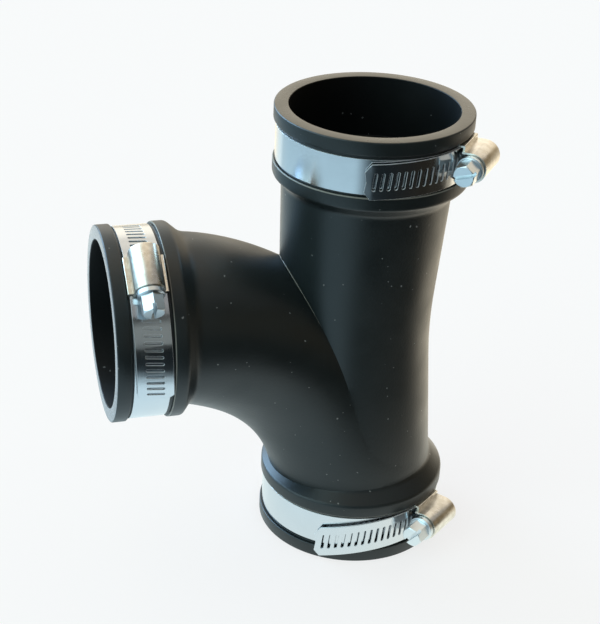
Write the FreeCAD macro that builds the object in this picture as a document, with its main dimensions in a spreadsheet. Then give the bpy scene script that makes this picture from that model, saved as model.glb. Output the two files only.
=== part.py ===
import FreeCAD, Part
import math
import os
import Sketcher
from FreeCAD import Placement, Rotation, Vector

# Flexible rubber tee for 2 inch pipe (60.3 mm outside) with three worm-drive clamps, in millimetres.
# The origin is the centre of the bottom mouth, +Z runs up the straight run to the top mouth,
# and the branch sweeps out of the run and leaves towards -X.

SIZES = [
    # The moulded tee
    ("pipe_radius", 30.15, "radius of each socket, that of the pipe it takes"),
    ("socket_depth", 23.0, "from a mouth to the shoulder that stops the pipe"),
    ("socket_wall", 3.75, "rubber between the pipe and the strap"),
    ("lip_height", 1.5, "how far the lip stands above the clamp groove"),
    ("lip_width", 5.0, "length of the lip along its neck"),
    ("groove_width", 15.0, "length of the clamp groove along its neck"),
    ("collar_height", 1.4, "how far the collar stands above the clamp groove"),
    ("collar_width", 4.8, "length of the collar along its neck"),
    ("cone_length", 6.0, "length of the cone that leads from the collar to the tube"),
    ("cone_angle", 48.0, "slope of that cone from the neck's axis, degrees"),
    ("bore_radius", 26.2, "radius of the passage just past each shoulder"),
    ("tube_wall", 4.3, "rubber wall of the run and of the elbow"),
    ("run_height", 170.5, "bottom mouth to top mouth"),
    ("top_stub", 27.0, "top mouth to the start of the tapered run"),
    ("top_tube_radius", 30.75, "outside of the run below the top collar"),
    ("top_tube_shift", 1.25, "lean of the run towards the branch below the top collar"),
    ("waist_height", 87.7, "height at which the run's two tapers meet"),
    ("waist_radius", 28.1, "outside of the run where its tapers meet"),
    ("waist_shift", 2.84, "lean of the run towards the branch at the waist"),
    ("taper_overlap", 1.5, "how far each taper runs on past its ends"),
    ("elbow_radius", 70.5, "bend radius of the branch's centre line"),
    ("branch_stub", 26.7, "branch mouth to the start of the bend"),
    ("bottom_stub", 23.2, "bottom mouth to the end of the bend"),
    ("branch_tube_radius", 31.2, "outside of the elbow where the bend starts"),
    ("elbow_upper_radius", 28.9, "outside of the elbow a quarter of the way round"),
    ("elbow_middle_radius", 27.7, "outside of the elbow half way round"),
    ("elbow_lower_radius", 29.2, "outside of the elbow three quarters of the way round"),
    ("bottom_tube_radius", 30.3, "outside of the elbow and run above the bottom collar"),
    ("elbow_inset", 1.4, "how far the elbow's middle lies inside the bend line"),
    # The clamps
    ("strap_width", 12.7, "width of the steel strap"),
    ("strap_thickness", 0.6, "thickness of the steel strap"),
    ("seat_gap", 0.05, "clearance between the rubber groove and the strap"),
    ("layer_gap", 0.05, "clearance between the strap's two layers"),
    ("ramp_start", 28.0, "angle behind the screw at which the strap starts to climb, degrees"),
    ("ramp_end", 12.6, "angle behind the screw at which it lies on the second layer, degrees"),
    ("strap_start", 11.3, "angle behind the screw at which the strap begins, degrees"),
    ("tail_bend", 16.0, "angle ahead of the screw at which the tail may leave its seat, degrees"),
    ("tail_tip_cut", 2.3, "cut corners of the tail"),
    ("slot_pitch", 2.5, "spacing of the strap's slots, the pitch of the screw"),
    ("slot_length", 6.4, "length of a slot across the strap"),
    ("slot_width", 1.15, "width of a slot along the strap"),
    ("slot_slant", 6.5, "lean of a slot, that of the screw's thread, degrees"),
    ("slot_margin", 3.4, "tail's tip to the middle of its first slot"),
    ("slotted_behind", 52.0, "angle behind the screw to which the slots run, degrees"),
    ("housing_sheet", 0.7, "thickness of the housing's sheet steel"),
    ("side_gap", 0.08, "clearance between the strap's edge and the housing"),
    ("foot_gap", 0.1, "clearance between the second layer and the foot above it"),
    ("foot_length", 14.0, "length of the housing's foot along the strap"),
    ("barrel_length", 16.0, "length of the housing's barrel"),
    ("barrel_gap", 0.05, "clearance between the screw's journal and the barrel"),
    ("journal_radius", 4.6, "radius of the screw where the barrel's mouth holds it"),
    ("journal_length", 0.5, "how far the journal reaches into the barrel"),
    ("rear_wall", 0.8, "thickness of the barrel's closed rear end"),
    ("tab_width", 2.0, "length of each locking tab along the strap"),
    ("tab_reach", 1.0, "how far a locking tab enters the strap's edge"),
    ("tab_inset", 0.4, "end of the foot to the tab"),
    ("foot_round", 0.45, "rounding along the top of the foot"),
    ("rear_bevel", 0.4, "bevel round the barrel's closed end"),
    ("tab_gap", 0.05, "clearance round a tab in its notch"),
    ("worm_radius", 3.8, "radius of the screw's worm"),
    ("worm_gap", 0.1, "clearance between the worm and the strap under it"),
    ("pilot_radius", 2.3, "radius of the screw's rear pilot"),
    ("pilot_length", 2.4, "length of that pilot past the worm"),
    ("end_gap", 0.1, "clearance between the worm's end and the barrel's rear wall"),
    ("pilot_gap", 0.05, "clearance of the pilot in the barrel's rear wall"),
    ("collar_gap", 0.35, "barrel's mouth to the screw's round collar"),
    ("screw_collar_radius", 4.8, "radius of the screw's round collar"),
    ("screw_collar_length", 2.0, "thickness of the screw's round collar"),
    ("hex_flats", 7.94, "width of the hexagon head across its flats"),
    ("hex_length", 6.3, "length of the hexagon head"),
    ("hex_chamfer", 40.0, "slope of the hexagon's chamfered end, degrees"),
    ("driver_slot_width", 1.3, "width of the screwdriver slot"),
    ("driver_slot_depth", 2.2, "depth of the screwdriver slot"),
    # Where each clamp sits on its neck
    ("top_clamp_angle", -39.0, "place of the top screw round its neck, degrees"),
    ("top_clamp_slip", -0.3, "top clamp's distance above the middle of its groove"),
    ("top_tail_angle", 73.0, "reach of the top clamp's tail from its screw, degrees"),
    ("top_tail_skew", -0.75, "drift of the top clamp's tail along its neck"),
    ("top_tail_lift", 0.3, "gap that opens under the top clamp's tail"),
    ("top_screw_turn", 20.0, "turn of the top screw's head, degrees"),
    ("bottom_clamp_angle", -50.5, "place of the bottom screw round its neck, degrees"),
    ("bottom_clamp_slip", 0.2, "bottom clamp's distance above the middle of its groove"),
    ("bottom_tail_angle", 77.5, "reach of the bottom clamp's tail from its screw, degrees"),
    ("bottom_tail_skew", -4.0, "drift of the bottom clamp's tail along its neck"),
    ("bottom_tail_lift", 1.5, "gap that opens under the bottom clamp's tail"),
    ("bottom_screw_turn", 50.0, "turn of the bottom screw's head, degrees"),
    ("branch_clamp_angle", 126.0, "place of the branch screw round its neck, degrees"),
    ("branch_clamp_slip", 0.2, "branch clamp's distance from the middle of its groove"),
    ("branch_tail_angle", 74.0, "reach of the branch clamp's tail from its screw, degrees"),
    ("branch_tail_skew", -1.2, "drift of the branch clamp's tail along its neck"),
    ("branch_tail_lift", 0.25, "gap that opens under the branch clamp's tail"),
    ("branch_screw_turn", 0.0, "turn of the branch screw's head, degrees"),
]

# Sizes that follow from the driving ones, each with its formula.
FITS = [
    ("groove_radius", "Sizes.pipe_radius + Sizes.socket_wall"),
    ("lip_radius", "Fits.groove_radius + Sizes.lip_height"),
    ("collar_radius", "Fits.groove_radius + Sizes.collar_height"),
    ("collar_start", "Sizes.lip_width + Sizes.groove_width"),
    ("collar_end", "Fits.collar_start + Sizes.collar_width"),
    ("neck_length", "Fits.collar_end + Sizes.cone_length"),
    ("cone_radius", "Fits.collar_radius - Sizes.cone_length * tan(Sizes.cone_angle * 1 deg)"),
    ("bottom_taper_start", "Sizes.bottom_stub"),
    ("bottom_taper_lean", "atan(Sizes.waist_shift / (Sizes.waist_height - Fits.bottom_taper_start)) / 1 deg"),
    ("bottom_taper_length",
     "(Sizes.waist_height - Fits.bottom_taper_start) / cos(Fits.bottom_taper_lean * 1 deg)"),
    ("top_taper_start", "Sizes.run_height - Sizes.top_stub"),
    ("top_taper_lean",
     "atan((Sizes.waist_shift - Sizes.top_tube_shift) / (Fits.top_taper_start - Sizes.waist_height)) / 1 deg"),
    ("top_taper_length",
     "(Fits.top_taper_start - Sizes.waist_height) / cos(Fits.top_taper_lean * 1 deg)"),
    ("bottom_passage_start", "Sizes.socket_depth - Sizes.taper_overlap"),
    ("bottom_passage_lean",
     "atan(Sizes.waist_shift / (Sizes.waist_height - Fits.bottom_passage_start)) / 1 deg"),
    ("bottom_passage_length",
     "(Sizes.waist_height - Fits.bottom_passage_start) / cos(Fits.bottom_passage_lean * 1 deg)"),
    ("top_passage_start", "Sizes.run_height - Fits.bottom_passage_start"),
    ("top_passage_lean",
     "atan(Sizes.waist_shift / (Fits.top_passage_start - Sizes.waist_height)) / 1 deg"),
    ("top_passage_length",
     "(Fits.top_passage_start - Sizes.waist_height) / cos(Fits.top_passage_lean * 1 deg)"),
    ("branch_reach", "Sizes.elbow_radius + Sizes.branch_stub"),
    ("branch_height", "Sizes.elbow_radius + Sizes.bottom_stub"),
    ("clamp_seat", "Sizes.lip_width + Sizes.groove_width / 2"),
    ("seat_radius", "Fits.groove_radius + Sizes.seat_gap"),
    ("second_radius", "Fits.seat_radius + Sizes.strap_thickness + Sizes.layer_gap"),
    ("tail_top", "Fits.second_radius + Sizes.strap_thickness"),
    ("screw_axis", "Fits.tail_top + Sizes.worm_gap + Sizes.worm_radius"),
    ("foot_under", "Fits.tail_top + Sizes.foot_gap"),
    ("foot_top", "Fits.foot_under + Sizes.housing_sheet"),
    ("tunnel_half", "Sizes.strap_width / 2 + Sizes.side_gap"),
    ("foot_half", "Fits.tunnel_half + Sizes.housing_sheet"),
    ("barrel_inside", "Sizes.journal_radius + Sizes.barrel_gap"),
    ("barrel_outside", "Fits.barrel_inside + Sizes.housing_sheet"),
    ("barrel_half", "Sizes.barrel_length / 2"),
    ("collar_face", "Fits.barrel_half + Sizes.collar_gap"),
    ("hex_start", "Fits.collar_face + Sizes.screw_collar_length"),
    ("hex_end", "Fits.hex_start + Sizes.hex_length"),
]

doc = FreeCAD.newDocument("rubber_tee")
sheet = doc.addObject("Spreadsheet::Sheet", "Sizes")
for row, (name, value, note) in enumerate(SIZES, start=1):
    sheet.set("A%d" % row, name)
    sheet.set("B%d" % row, str(value))
    sheet.set("C%d" % row, note)
    sheet.setAlias("B%d" % row, name)
doc.recompute()
fits = doc.addObject("App::VarSet", "Fits")
for name, formula in FITS:
    fits.addProperty("App::PropertyFloat", name)
    fits.setExpression(name, formula)
doc.recompute()


def size(name):
    """Value of a driving size, in millimetres or degrees."""
    return float(getattr(sheet, name))


def fit(name):
    """Value of a size that follows from the driving ones."""
    return float(getattr(fits, name))


# Helpers for sketches and features

def origin_plane(body, role):
    """One of the body's own origin planes, such as XY_Plane."""
    return next(item for item in body.Origin.OriginFeatures if item.Role == role)


def sketch_on(body, name, role, base=("0", "0", "0"), axis=Vector(0, 0, 1), angle="0"):
    """Sketch on an origin plane, shifted and turned in the plane's own axes by expressions."""
    sketch = body.newObject("Sketcher::SketchObject", name)
    sketch.AttachmentSupport = [(origin_plane(body, role), "")]
    sketch.MapMode = "FlatFace"
    sketch.AttachmentOffset = Placement(Vector(), Rotation(axis, 1.0))
    for letter, formula in zip("xyz", base):
        sketch.setExpression("AttachmentOffset.Base." + letter, formula)
    sketch.setExpression("AttachmentOffset.Rotation.Angle", angle)
    return sketch


def pin_point(sketch, part, end, x_formula, y_formula):
    """Holds one point of the sketch at a place given by two formulas."""
    for kind, formula in (("DistanceX", x_formula), ("DistanceY", y_formula)):
        place = sketch.addConstraint(Sketcher.Constraint(kind, -1, 1, part, end, 1.0))
        sketch.setExpression("Constraints[%d]" % place, formula)


def outline(sketch, corners):
    """Closed outline of straight lines through corners, each a pair of formulas."""
    count = len(corners)
    first = sketch.GeometryCount
    rough = [Vector(10 + 5 * math.cos(6.28 * i / count), 5 * math.sin(6.28 * i / count), 0)
             for i in range(count)]
    for i in range(count):
        sketch.addGeometry(Part.LineSegment(rough[i], rough[(i + 1) % count]))
    for i in range(count):
        sketch.addConstraint(Sketcher.Constraint("Coincident", first + i, 2, first + (i + 1) % count, 1))
    for i, (x_formula, y_formula) in enumerate(corners):
        pin_point(sketch, first + i, 1, x_formula, y_formula)


def circle(sketch, radius, x_formula="0", y_formula="0"):
    """Circle whose radius and centre are formulas."""
    part = sketch.addGeometry(Part.Circle(Vector(1, 1, 0), Vector(0, 0, 1), 5.0))
    place = sketch.addConstraint(Sketcher.Constraint("Radius", part, 5.0))
    sketch.setExpression("Constraints[%d]" % place, radius)
    pin_point(sketch, part, 3, x_formula, y_formula)


def rectangle(sketch, low_x, high_x, low_y, high_y):
    """Upright rectangle between formulas."""
    outline(sketch, [(low_x, low_y), (high_x, low_y), (high_x, high_y), (low_x, high_y)])


def sweep_sketch(body, kind, name, sketch, length, midplane=False, flip=False):
    """Pad or Pocket of a sketch over a length given by a formula."""
    feature = body.newObject("PartDesign::" + kind, name)
    feature.Profile = sketch
    feature.Type = 0
    feature.Midplane = midplane
    feature.Reversed = flip
    feature.setExpression("Length", length)
    return feature


def turn_sketch(body, kind, name, sketch):
    """Revolution or Groove of a sketch about its own vertical axis."""
    feature = body.newObject("PartDesign::" + kind, name)
    feature.Profile = sketch
    feature.ReferenceAxis = (sketch, ["V_Axis"])
    feature.Angle = 360
    return feature


def loft_sketches(body, kind, name, sketches):
    """AdditiveLoft or SubtractiveLoft straight from each sketch to the next."""
    feature = body.newObject("PartDesign::" + kind, name)
    feature.Profile = sketches[0]
    feature.Sections = sketches[1:]
    feature.Ruled = True
    return feature


def dress_edges(body, kind, name, chosen, amount, formula):
    """Fillet or Chamfer on every edge of the body that chosen picks."""
    base = body.Tip
    edges = ["Edge%d" % i for i, edge in enumerate(base.Shape.Edges, start=1) if chosen(edge)]
    feature = body.newObject("PartDesign::" + kind, name)
    feature.Base = (base, edges)
    feature.setExpression(amount, formula)
    return feature


# The moulded tee

def neck_place(neck):
    """Expressions that put a neck's outline, drawn from its mouth inwards, on the XZ plane."""
    return {
        "bottom": (("0", "0", "0"), "0"),
        "top": (("0", "Sizes.run_height", "0"), "180"),
        "branch": (("-Fits.branch_reach", "Fits.branch_height", "0"), "-90"),
    }[neck]


NECK_OUTSIDE = [
    ("0", "0"),
    ("Fits.lip_radius", "0"),
    ("Fits.lip_radius", "Sizes.lip_width"),
    ("Fits.groove_radius", "Sizes.lip_width"),
    ("Fits.groove_radius", "Fits.collar_start"),
    ("Fits.collar_radius", "Fits.collar_start"),
    ("Fits.collar_radius", "Fits.collar_end"),
    ("Fits.cone_radius", "Fits.neck_length"),
    ("0", "Fits.neck_length"),
]
NECKS = ("bottom", "top", "branch")


def run_taper(body, kind, name, end, inside=False):
    """One taper of the run or of its passage, turned about a leaning axis from an end to the waist."""
    part = "passage" if inside else "taper"
    start_radius = "Sizes.bore_radius" if inside else "Sizes.%s_tube_radius" % end
    waist_radius = "(Sizes.waist_radius - Sizes.tube_wall)" if inside else "Sizes.waist_radius"
    length = "Fits.%s_%s_length" % (end, part)
    lean = "Fits.%s_%s_lean" % (end, part)
    past = "(%s + Sizes.taper_overlap)" % length
    shift = "-Sizes.top_tube_shift" if end == "top" and not inside else "0"
    base = (shift, "Fits.%s_%s_start" % (end, part), "0")
    sketch = sketch_on(body, name + "_outline", "XZ_Plane", base,
                       angle="180 - " + lean if end == "top" else lean)
    outline(sketch, [
        ("0", "0"),
        (start_radius, "0"),
        ("%s + (%s - %s) * %s / %s" % (start_radius, waist_radius, start_radius, past, length), past),
        ("0", past),
    ])
    return turn_sketch(body, kind, name, sketch)


ELBOW_RADII = [
    "Sizes.branch_tube_radius",
    "Sizes.elbow_upper_radius",
    "Sizes.elbow_middle_radius",
    "Sizes.elbow_lower_radius",
    "Sizes.bottom_tube_radius",
]


def elbow_radius(share):
    """Formula for the elbow's outside, 0 at the branch and 1 at the bottom, smooth through ELBOW_RADII."""
    last = len(ELBOW_RADII) - 1
    terms = []
    for own, radius in enumerate(ELBOW_RADII):
        weight = 1.0
        for other in range(last + 1):
            if other != own:
                weight *= (share * last - other) / (own - other)
        terms.append("%.6f * %s" % (weight, radius))
    return " + ".join(terms).replace("+ -", "- ")


def elbow_sections(body, name, steps, inside=False):
    """Circles round the bend, from the branch stub to the bottom stub, or the passage inside them."""
    sketches = []
    if inside:
        mouth = ("Sizes.socket_depth - Sizes.taper_overlap - Fits.branch_reach", "0", "Fits.branch_height")
        sketch = sketch_on(body, name + "_section_0", "XY_Plane", mouth, Vector(0, -1, 0), "90")
        circle(sketch, "Sizes.bore_radius")
        sketches.append(sketch)
    for step in range(steps + 1):
        bend = 90.0 * step / steps
        place = (
            "-Sizes.elbow_radius * (1 - sin(%g deg))" % bend,
            "0",
            "Sizes.bottom_stub + Sizes.elbow_radius * cos(%g deg)" % bend,
        )
        sketch = sketch_on(body, name + "_section_%d" % (step + 1), "XY_Plane", place,
                           Vector(0, -1, 0), "%g" % (90.0 - bend))
        radius = elbow_radius(step / steps)
        if inside:
            radius = radius + " - Sizes.tube_wall" if step > 0 else "Sizes.bore_radius"
        circle(sketch, radius, "-Sizes.elbow_inset * sin(%g deg)" % (2 * bend))
        sketches.append(sketch)
    return sketches


def make_tee():
    """The one-piece moulded rubber tee."""
    body = doc.addObject("PartDesign::Body", "tee_body")
    for neck in NECKS:
        base, angle = neck_place(neck)
        sketch = sketch_on(body, neck + "_neck_outline", "XZ_Plane", base, angle=angle)
        outline(sketch, NECK_OUTSIDE)
        turn_sketch(body, "Revolution", neck + "_neck", sketch)
    for end in ("bottom", "top"):
        run_taper(body, "Revolution", end + "_taper", end)
    loft_sketches(body, "AdditiveLoft", "elbow", elbow_sections(body, "elbow", 18))
    for end in ("bottom", "top"):
        run_taper(body, "Groove", end + "_passage", end, inside=True)
    loft_sketches(body, "SubtractiveLoft", "branch_passage",
                  elbow_sections(body, "branch_passage", 15, inside=True))
    for neck in NECKS:
        base, angle = neck_place(neck)
        sketch = sketch_on(body, neck + "_socket_outline", "XZ_Plane", base, angle=angle)
        outline(sketch, [
            ("0", "-Sizes.lip_width"),
            ("Sizes.pipe_radius", "-Sizes.lip_width"),
            ("Sizes.pipe_radius", "Sizes.socket_depth"),
            ("0", "Sizes.socket_depth"),
        ])
        turn_sketch(body, "Groove", neck + "_socket", sketch)
    body.Label = "tee_body"
    return body


# The housing: one stamping with a barrel over the screw and a foot locked to the strap

def is_foot_shoulder(edge):
    """True for the two long outer edges along the top of the foot."""
    box = edge.BoundBox
    level = abs(box.XMin - fit("foot_top")) < 0.01 and box.XLength < 0.01
    wide = abs(abs(box.ZMin) - fit("foot_half")) < 0.01 and box.ZLength < 0.01
    return level and wide and box.YLength > size("foot_length") * 0.9


def is_barrel_rim(edge):
    """True for the outer arc round the barrel's closed rear end."""
    curve = edge.Curve
    round_rim = isinstance(curve, Part.Circle) and abs(curve.Radius - fit("barrel_outside")) < 0.001
    return round_rim and abs(edge.BoundBox.YMin - fit("barrel_half")) < 0.01


def make_housing(name, place):
    """Housing with its barrel along Y, open towards -Y, and the neck's axis along Z."""
    body = doc.addObject("PartDesign::Body", name)
    foot_low = "Fits.seat_radius - Sizes.foot_length ^ 2 / (6 * Fits.seat_radius)"
    outside = "Fits.barrel_outside"
    inside = "Fits.barrel_inside"

    foot = sketch_on(body, name + "_foot_outline", "XZ_Plane")
    rectangle(foot, foot_low, "Fits.foot_top", "-Fits.foot_half", "Fits.foot_half")
    sweep_sketch(body, "Pad", name + "_foot", foot, "Sizes.foot_length", midplane=True)

    barrel = sketch_on(body, name + "_barrel_outline", "XZ_Plane")
    circle(barrel, outside, "Fits.screw_axis")
    sweep_sketch(body, "Pad", name + "_barrel", barrel, "Sizes.barrel_length", midplane=True)

    skirt = sketch_on(body, name + "_skirt_outline", "XZ_Plane")
    rectangle(skirt, "Fits.foot_under", "Fits.screw_axis", "-" + outside, outside)
    sweep_sketch(body, "Pad", name + "_skirt", skirt, "Sizes.barrel_length", midplane=True)

    tunnel = sketch_on(body, name + "_tunnel_outline", "XZ_Plane")
    rectangle(tunnel, "Fits.seat_radius / 2", "Fits.foot_under", "-Fits.tunnel_half", "Fits.tunnel_half")
    sweep_sketch(body, "Pocket", name + "_tunnel", tunnel, "2 * Sizes.barrel_length", midplane=True)

    front = ("0", "0", "Fits.barrel_half")
    depth = "Sizes.barrel_length - Sizes.rear_wall"
    room = sketch_on(body, name + "_screw_room_outline", "XZ_Plane", front)
    circle(room, inside, "Fits.screw_axis")
    sweep_sketch(body, "Pocket", name + "_screw_room", room, depth)

    throat = sketch_on(body, name + "_throat_outline", "XZ_Plane", front)
    rectangle(throat, "Fits.seat_radius", "Fits.screw_axis", "-" + inside, inside)
    sweep_sketch(body, "Pocket", name + "_throat", throat, depth)

    pilot = sketch_on(body, name + "_pilot_outline", "XZ_Plane", front)
    circle(pilot, "Sizes.pilot_radius + Sizes.pilot_gap", "Fits.screw_axis")
    sweep_sketch(body, "Pocket", name + "_pilot_hole", pilot, "2 * Sizes.barrel_length")

    neck = sketch_on(body, name + "_neck_outline", "XY_Plane")
    circle(neck, "Fits.seat_radius")
    sweep_sketch(body, "Pocket", name + "_neck_hollow", neck, "4 * Fits.foot_half", midplane=True)

    tabs = sketch_on(body, name + "_tab_outline", "XY_Plane",
                     ("0", "0", "Fits.tunnel_half - Sizes.tab_reach"))
    far = "(Sizes.foot_length / 2 - Sizes.tab_inset)"
    near = "(Sizes.foot_length / 2 - Sizes.tab_inset - Sizes.tab_width)"
    radii = ("Fits.seat_radius", "(Fits.seat_radius + Sizes.strap_thickness)")
    for side in ("", "-"):
        corners = [(radii[0], near), (radii[1], near), (radii[1], far), (radii[0], far)]
        outline(tabs, [("sqrt(%s ^ 2 - %s ^ 2)" % (radius, along), side + along)
                       for radius, along in corners])
    pads = sweep_sketch(body, "Pad", name + "_tabs", tabs, "Sizes.tab_reach + Sizes.housing_sheet / 2")
    mirror = body.newObject("PartDesign::Mirrored", name + "_other_tabs")
    mirror.Originals = [pads]
    mirror.MirrorPlane = (origin_plane(body, "XY_Plane"), [""])
    body.Tip = mirror

    doc.recompute()
    dress_edges(body, "Fillet", name + "_foot_rounding", is_foot_shoulder, "Radius", "Sizes.foot_round")
    doc.recompute()
    dress_edges(body, "Chamfer", name + "_rear_bevel", is_barrel_rim, "Size", "Sizes.rear_bevel")
    body.Label = name
    body.Placement = place
    return body


# The screw: a worm with a journal at its mouth end, a round collar and a slotted hexagon head

def make_screw(name, place):
    """Worm screw along Z, its head towards +Z and the middle of the barrel at the origin."""
    body = doc.addObject("PartDesign::Body", name)
    worm_back = "-(Fits.barrel_half - Sizes.rear_wall - Sizes.end_gap)"
    journal_start = "Fits.barrel_half - Sizes.journal_length"

    shank = sketch_on(body, name + "_shank_outline", "XZ_Plane")
    outline(shank, [
        ("0", worm_back + " - Sizes.pilot_length"),
        ("Sizes.pilot_radius", worm_back + " - Sizes.pilot_length"),
        ("Sizes.pilot_radius", worm_back),
        ("Sizes.worm_radius", worm_back),
        ("Sizes.worm_radius", journal_start),
        ("Sizes.journal_radius", journal_start),
        ("Sizes.journal_radius", "Fits.collar_face"),
        ("Sizes.screw_collar_radius", "Fits.collar_face"),
        ("Sizes.screw_collar_radius", "Fits.hex_start"),
        ("0", "Fits.hex_start"),
    ])
    turn_sketch(body, "Revolution", name + "_shank", shank)

    head = body.newObject("PartDesign::AdditivePrism", name + "_hexagon")
    head.AttachmentSupport = [(origin_plane(body, "XY_Plane"), "")]
    head.MapMode = "FlatFace"
    head.Polygon = 6
    head.setExpression("AttachmentOffset.Base.z", "Fits.hex_start")
    head.setExpression("Circumradius", "Sizes.hex_flats / sqrt(3)")
    head.setExpression("Height", "Sizes.hex_length")

    chamfer = sketch_on(body, name + "_chamfer_outline", "XZ_Plane")
    outline(chamfer, [
        ("Sizes.hex_flats / 2", "Fits.hex_end"),
        ("Sizes.hex_flats", "Fits.hex_end"),
        ("Sizes.hex_flats", "Fits.hex_end - Sizes.hex_flats / 2 * tan(Sizes.hex_chamfer * 1 deg)"),
    ])
    turn_sketch(body, "Groove", name + "_chamfer", chamfer)

    slot = sketch_on(body, name + "_driver_outline", "XY_Plane", ("0", "0", "Fits.hex_end"))
    rectangle(slot, "-Sizes.hex_flats", "Sizes.hex_flats",
              "-Sizes.driver_slot_width / 2", "Sizes.driver_slot_width / 2")
    sweep_sketch(body, "Pocket", name + "_driver_slot", slot, "Sizes.driver_slot_depth")
    body.Label = name
    body.Placement = place
    return body


# The strap: one strip that starts under the housing, runs once round the neck, climbs over its own
# start and leaves under the screw's head as a slotted tail on top of the first layer

def at_angle(angle, radius, along=0.0):
    """Point at an angle behind the screw, in degrees, a radius from the neck's axis."""
    turn = math.radians(angle)
    return Vector(radius * math.cos(turn), radius * math.sin(turn), along)


def rise(share):
    """Smooth step from 0 to 1."""
    return share * share * (3 - 2 * share)


class Strap:
    """The strap of one clamp, in the clamp's own frame, built from its tail's reach, skew and lift."""

    def __init__(self, clamp):
        self.tail_angle = -size(clamp + "_tail_angle")
        self.skew = size(clamp + "_tail_skew")
        self.lift = size(clamp + "_tail_lift")
        self.bend = -size("tail_bend")
        self.thickness = size("strap_thickness")
        self.half_width = size("strap_width") / 2

    def tail_share(self, angle):
        """0 where the tail leaves its seat, 1 at its tip."""
        return max(0.0, (angle - self.bend) / (self.tail_angle - self.bend))

    def radius(self, angle):
        """Inner radius of the strap's upper layer."""
        first = fit("seat_radius")
        second = fit("second_radius")
        if angle >= size("ramp_start"):
            return first
        if angle > size("ramp_end"):
            share = (size("ramp_start") - angle) / (size("ramp_start") - size("ramp_end"))
            return first + (second - first) * rise(share)
        return second + self.lift * self.tail_share(angle)

    def drift(self, angle):
        """How far the strap's middle line has moved along the neck."""
        return self.skew * self.tail_share(angle) ** 2

    def arc(self, radius, start, end):
        """Arc about the neck's axis between two angles."""
        return Part.Arc(at_angle(start, radius), at_angle((start + end) / 2, radius),
                        at_angle(end, radius)).toShape()

    def ramp(self, raised):
        """Curve up which the strap climbs on to its second layer."""
        start = size("ramp_start")
        end = size("ramp_end")
        steps = 6
        angles = [start + (end - start) * i / steps for i in range(steps + 1)]
        curve = Part.BSplineCurve()
        curve.interpolate(
            [at_angle(angle, self.radius(angle) + raised) for angle in angles],
            InitialTangent=at_angle(start - 90, 1), FinalTangent=at_angle(end - 90, 1))
        return curve.toShape()

    def loop(self):
        """The flat-wound part, from the strap's start to where the tail leaves its seat."""
        sides = []
        for raised in (0.0, self.thickness):
            sides.append([
                self.arc(fit("seat_radius") + raised, size("strap_start") + 360, size("ramp_start")),
                self.ramp(raised),
                self.arc(fit("second_radius") + raised, size("ramp_end"), self.bend),
            ])
        inner, outer = sides
        ends = [
            Part.makeLine(edge_in.Vertexes[place].Point, edge_out.Vertexes[place].Point)
            for edge_in, edge_out, place in ((inner[0], outer[0], 0), (inner[2], outer[2], -1))
        ]
        face = Part.Face(Part.Wire(Part.sortEdges(inner + outer + ends)[0]))
        face.translate(Vector(0, 0, -self.half_width))
        return face.extrude(Vector(0, 0, 2 * self.half_width))

    def tail(self):
        """The free end, which may drift along the neck and lift off the first layer."""
        steps = 8
        wires = []
        for i in range(steps + 1):
            angle = self.bend + (self.tail_angle - self.bend) * i / steps
            inner = self.radius(angle)
            outer = inner + self.thickness
            middle = self.drift(angle)
            low = middle - self.half_width
            high = middle + self.half_width
            wires.append(Part.makePolygon([
                at_angle(angle, inner, low), at_angle(angle, outer, low),
                at_angle(angle, outer, high), at_angle(angle, inner, high),
                at_angle(angle, inner, low),
            ]))
        return Part.makeLoft(wires, True, False)

    def punch(self, angle, corners, below=0.0):
        """Cutter through the upper layer: corners are (along the strap, across it) about an angle."""
        base = self.radius(angle) - below
        middle = self.drift(angle)
        out = at_angle(angle, 1)
        along = at_angle(angle - 90, 1)
        points = [out * base + along * x + Vector(0, 0, middle + y) for x, y in corners]
        face = Part.Face(Part.makePolygon(points + points[:1]))
        return face.extrude(out * (2 * self.thickness))

    def slots(self):
        """One slanted slot for each pitch of the screw, from the tail's tip to behind the housing."""
        pitch = math.degrees(size("slot_pitch") / fit("tail_top"))
        first = self.tail_angle + math.degrees(size("slot_margin") / fit("tail_top"))
        half_long = size("slot_length") / 2
        half_wide = size("slot_width") / 2
        slant = math.tan(math.radians(size("slot_slant")))
        corners = [(x + slant * y, y) for x, y in (
            (-half_wide, -half_long), (half_wide, -half_long), (half_wide, half_long), (-half_wide, half_long))]
        count = int((size("slotted_behind") - first) / pitch) + 1
        return [self.punch(first + pitch * i, corners, size("layer_gap") / 2) for i in range(count)]

    def tip_cuts(self):
        """The two corners cut off the tail's tip."""
        cut = size("tail_tip_cut")
        over = size("strap_thickness")
        edge = self.half_width
        return [self.punch(self.tail_angle, [
            (over, side * (edge + over)), (over, side * (edge - cut - over)),
            (-cut - over, side * (edge + over))], size("layer_gap") / 2) for side in (1, -1)]

    def notches(self):
        """Notches in the strap's start, one for each locking tab of the housing."""
        gap = size("tab_gap")
        far = size("foot_length") / 2 - size("tab_inset") + gap
        near = far - size("tab_width") - 2 * gap
        reach = size("tab_reach") + gap - size("side_gap")
        inner = fit("seat_radius") - gap
        outer = fit("seat_radius") + self.thickness + size("layer_gap") / 2
        cutters = []
        for low, high in ((near, far), (-far, -near)):
            angles = [math.degrees(math.asin(y / inner)) for y in (low, high)]
            corners = [at_angle(angles[0], inner), at_angle(angles[0], outer),
                       at_angle(angles[1], outer), at_angle(angles[1], inner)]
            face = Part.Face(Part.makePolygon(corners + corners[:1]))
            for bottom in (self.half_width - reach, -self.half_width - gap):
                cutter = face.extrude(Vector(0, 0, reach + gap))
                cutter.translate(Vector(0, 0, bottom))
                cutters.append(cutter)
        return cutters

    def solid(self):
        """The finished strap."""
        strip = self.loop().fuse(self.tail()).removeSplitter()
        return strip.cut(Part.Compound(self.slots() + self.tip_cuts() + self.notches()))


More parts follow.
